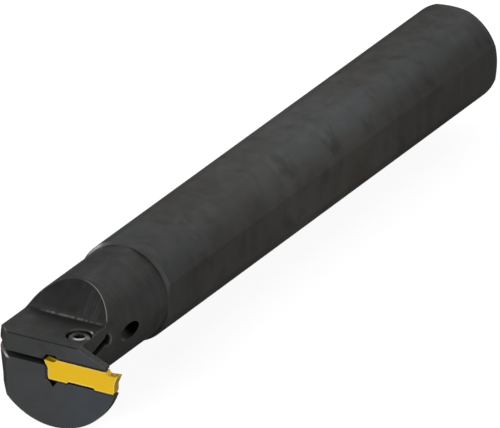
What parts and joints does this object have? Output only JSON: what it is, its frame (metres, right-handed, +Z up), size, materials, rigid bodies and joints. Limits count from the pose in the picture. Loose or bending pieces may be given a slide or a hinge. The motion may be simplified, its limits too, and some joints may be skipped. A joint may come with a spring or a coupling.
{
  "type": "boring bar",
  "caption": "Internal grooving and boring bar: round shank with flats, slit head that clamps a double-ended insert by a screw, coolant through the bar.",
  "frame": {"origin": "centre of the shank's rear face, on the bar's axis", "axes": "+Y back along the bar's axis, away from the cutting head; +X to the cutting side; +Z up out of the rake face"},
  "size_m": [0.043, 0.2503, 0.0363],
  "materials": {
    "bar_steel": "satin black oxide",
    "insert_coating": "golden yellow nitride coating on carbide",
    "screw_steel": "satin grey steel"
  },
  "bodies": {
    "holder": {"bar": "bar_steel", "insert": "insert_coating"},
    "clamp_screw": {"clamp_screw": "screw_steel"}
  },
  "joints": [
    {"name": "clamp_screw_turn", "type": "hinge", "parent": "holder", "child": "clamp_screw", "pos_m": [0.00975, -0.24125, 0.0038], "axis": [0, 0, 1], "range_deg": [0, 360]}
  ]
}
